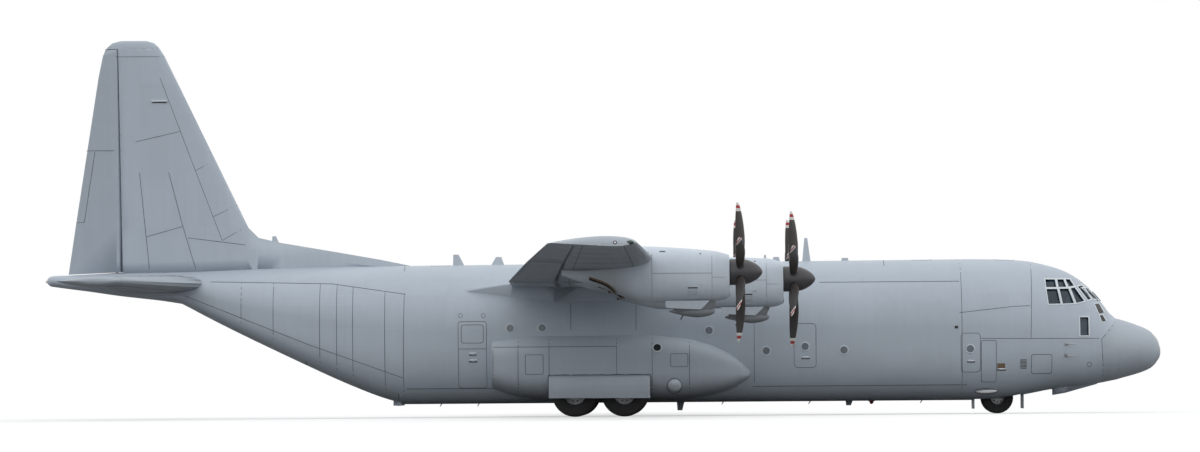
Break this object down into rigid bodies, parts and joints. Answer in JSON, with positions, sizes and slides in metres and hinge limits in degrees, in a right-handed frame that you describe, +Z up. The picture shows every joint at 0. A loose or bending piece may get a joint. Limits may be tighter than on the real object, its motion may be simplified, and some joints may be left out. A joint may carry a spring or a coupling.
{
  "type": "half-size scale model of a four-engine turboprop military transport aircraft",
  "caption": "High-wing transport aircraft with turning propellers, wheels and control surfaces, rear ramp, cargo door and crew door, on its landing gear.",
  "frame": {"origin": "centre of the bounding box on the floor, below the wing", "axes": "+X forward along the fuselage, +Y to port, +Z up"},
  "size_m": [17.36, 20.205, 5.92],
  "materials": {
    "grey_paint": "matt blue-grey paint",
    "radome": "matt grey erosion coating",
    "glazing": "tinted glass",
    "propeller": "satin black-brown with pale and red tips",
    "tyre": "matt black",
    "steel": "satin grey",
    "lining": "matt grey-green",
    "seat": "woven",
    "dark_trim": "satin black"
  },
  "bodies": {
    "airframe": {"radome": "radome", "nose_section": "grey_paint", "flight_deck_glazing": "glazing", "flight_deck_floor": "lining", "forward_bulkhead": "lining", "instrument_panel": "dark_trim", "pilot_seat_left": "seat", "pilot_seat_right": "seat", "wing_centre": "grey_paint", "wing_outer_left": "grey_paint", "wing_outer_right": "grey_paint", "cargo_section": "grey_paint", "cargo_floor": "lining", "tail_section": "grey_paint", "fin": "grey_paint", "tailplane_left": "grey_paint", "tailplane_right": "grey_paint", "gear_pod_left": "grey_paint", "gear_pod_door_left": "grey_paint", "main_gear_legs_left": "steel", "nacelle_inboard_left": "grey_paint", "engine_inboard_left": "steel", "nacelle_outboard_left": "grey_paint", "engine_outboard_left": "steel", "gear_pod_right": "grey_paint", "gear_pod_door_right": "grey_paint", "main_gear_legs_right": "steel", "nacelle_inboard_right": "grey_paint", "engine_inboard_right": "steel", "nacelle_outboard_right": "grey_paint", "engine_outboard_right": "steel", "nose_gear_leg": "steel", "nose_gear_door_front": "grey_paint", "nose_gear_door_rear": "grey_paint"},
    "propeller_inboard_left": {"propeller_inboard_left": "propeller"},
    "propeller_inboard_right": {"propeller_inboard_right": "propeller"},
    "propeller_outboard_left": {"propeller_outboard_left": "propeller"},
    "propeller_outboard_right": {"propeller_outboard_right": "propeller"},
    "main_wheel_front_left": {"main_wheel_front_left": "tyre"},
    "main_wheel_rear_left": {"main_wheel_rear_left": "tyre"},
    "main_wheel_front_right": {"main_wheel_front_right": "tyre"},
    "main_wheel_rear_right": {"main_wheel_rear_right": "tyre"},
    "nose_strut": {"nose_gear_strut": "steel"},
    "nose_wheel_pair": {"nose_wheels": "tyre"},
    "flap_inboard_left": {"flap_inboard_left": "grey_paint"},
    "flap_inboard_right": {"flap_inboard_right": "grey_paint"},
    "flap_outboard_left": {"flap_outboard_left": "grey_paint"},
    "flap_outboard_right": {"flap_outboard_right": "grey_paint"},
    "aileron_left": {"aileron_left": "grey_paint"},
    "aileron_right": {"aileron_right": "grey_paint"},
    "elevator_left": {"elevator_left": "grey_paint"},
    "elevator_right": {"elevator_right": "grey_paint"},
    "rudder": {"rudder": "grey_paint"},
    "crew_door": {"crew_door": "grey_paint"},
    "cargo_ramp": {"cargo_ramp": "grey_paint"},
    "cargo_door": {"cargo_door": "grey_paint"}
  },
  "joints": [
    {"name": "propeller_inboard_left_spin", "type": "hinge", "parent": "airframe", "child": "propeller_inboard_left", "pos_m": [2.948, 2.485, 2.0775], "axis": [1, 0, 0], "continuous": true},
    {"name": "propeller_inboard_right_spin", "type": "hinge", "parent": "airframe", "child": "propeller_inboard_right", "pos_m": [2.948, -2.485, 2.0775], "axis": [1, 0, 0], "continuous": true},
    {"name": "propeller_outboard_left_spin", "type": "hinge", "parent": "airframe", "child": "propeller_outboard_left", "pos_m": [2.1265, 5.1, 2.145], "axis": [1, 0, 0], "continuous": true},
    {"name": "propeller_outboard_right_spin", "type": "hinge", "parent": "airframe", "child": "propeller_outboard_right", "pos_m": [2.1265, -5.1, 2.145], "axis": [1, 0, 0], "continuous": true},
    {"name": "main_wheel_front_left_spin", "type": "hinge", "parent": "airframe", "child": "main_wheel_front_left", "pos_m": [0.35, 1.085, 0.355], "axis": [0, 1, 0], "continuous": true},
    {"name": "main_wheel_rear_left_spin", "type": "hinge", "parent": "airframe", "child": "main_wheel_rear_left", "pos_m": [-0.412, 1.085, 0.355], "axis": [0, 1, 0], "continuous": true},
    {"name": "main_wheel_front_right_spin", "type": "hinge", "parent": "airframe", "child": "main_wheel_front_right", "pos_m": [0.35, -1.085, 0.355], "axis": [0, 1, 0], "continuous": true},
    {"name": "main_wheel_rear_right_spin", "type": "hinge", "parent": "airframe", "child": "main_wheel_rear_right", "pos_m": [-0.412, -1.085, 0.355], "axis": [0, 1, 0], "continuous": true},
    {"name": "nose_wheel_steering", "type": "hinge", "parent": "airframe", "child": "nose_strut", "pos_m": [6.129, 0, 0.4], "axis": [0, 0, 1], "range_deg": [-60, 60]},
    {"name": "nose_wheels_spin", "type": "hinge", "parent": "nose_strut", "child": "nose_wheel_pair", "pos_m": [6.129, 0, 0.2475], "axis": [0, 1, 0], "continuous": true},
    {"name": "flap_inboard_left_hinge", "type": "hinge", "parent": "airframe", "child": "flap_inboard_left", "pos_m": [-0.76094, 1.97975, 2.14063], "axis": [0, -0.9995, -0.0325], "range_deg": [0, 36]},
    {"name": "flap_inboard_right_hinge", "type": "hinge", "parent": "airframe", "child": "flap_inboard_right", "pos_m": [-0.76094, -1.97975, 2.14063], "axis": [0, -0.9995, 0.0325], "range_deg": [0, 36]},
    {"name": "flap_outboard_left_hinge", "type": "hinge", "parent": "airframe", "child": "flap_outboard_left", "pos_m": [-0.62977, 4.64275, 2.25963], "axis": [-0.0709, -0.9962, -0.0498], "range_deg": [0, 36]},
    {"name": "flap_outboard_right_hinge", "type": "hinge", "parent": "airframe", "child": "flap_outboard_right", "pos_m": [-0.62977, -4.64275, 2.25963], "axis": [0.0709, -0.9962, 0.0498], "range_deg": [0, 36]},
    {"name": "aileron_left_hinge", "type": "hinge", "parent": "airframe", "child": "aileron_left", "pos_m": [-0.37965, 8.1375, 2.42252], "axis": [-0.0717, -0.9965, -0.0427], "range_deg": [-20, 20]},
    {"name": "aileron_right_hinge", "type": "hinge", "parent": "airframe", "child": "aileron_right", "pos_m": [-0.37965, -8.1375, 2.42252], "axis": [0.0717, -0.9965, 0.0427], "range_deg": [-20, 20]},
    {"name": "elevator_left_hinge", "type": "hinge", "parent": "airframe", "child": "elevator_left", "pos_m": [-7.52, 2.2, 2.105], "axis": [0, -1, 0], "range_deg": [-40, 15]},
    {"name": "elevator_right_hinge", "type": "hinge", "parent": "airframe", "child": "elevator_right", "pos_m": [-7.52, -2.2, 2.105], "axis": [0, -1, 0], "range_deg": [-40, 15]},
    {"name": "rudder_hinge", "type": "hinge", "parent": "airframe", "child": "rudder", "pos_m": [-7.5825, 0, 3.8], "axis": [0, 0, 1], "range_deg": [-35, 35]},
    {"name": "crew_door_hinge", "type": "hinge", "parent": "airframe", "child": "crew_door", "pos_m": [6.01, 0.913, 0.556], "axis": [-1, 0, 0], "range_deg": [0, 105]},
    {"name": "cargo_ramp_hinge", "type": "hinge", "parent": "airframe", "child": "cargo_ramp", "pos_m": [-3.1775, 0, 0.204], "axis": [0, -1, 0], "range_deg": [0, 29]},
    {"name": "cargo_door_hinge", "type": "hinge", "parent": "airframe", "child": "cargo_door", "pos_m": [-6.4225, 0, 1.844], "axis": [0, -1, 0], "range_deg": [0, 24]}
  ],
  "couplings": [
    {"joint": "flap_inboard_right_hinge", "follows": "flap_inboard_left_hinge", "ratio": 1},
    {"joint": "flap_outboard_left_hinge", "follows": "flap_inboard_left_hinge", "ratio": 1},
    {"joint": "flap_outboard_right_hinge", "follows": "flap_inboard_left_hinge", "ratio": 1},
    {"joint": "aileron_right_hinge", "follows": "aileron_left_hinge", "ratio": -1},
    {"joint": "elevator_right_hinge", "follows": "elevator_left_hinge", "ratio": 1}
  ]
}
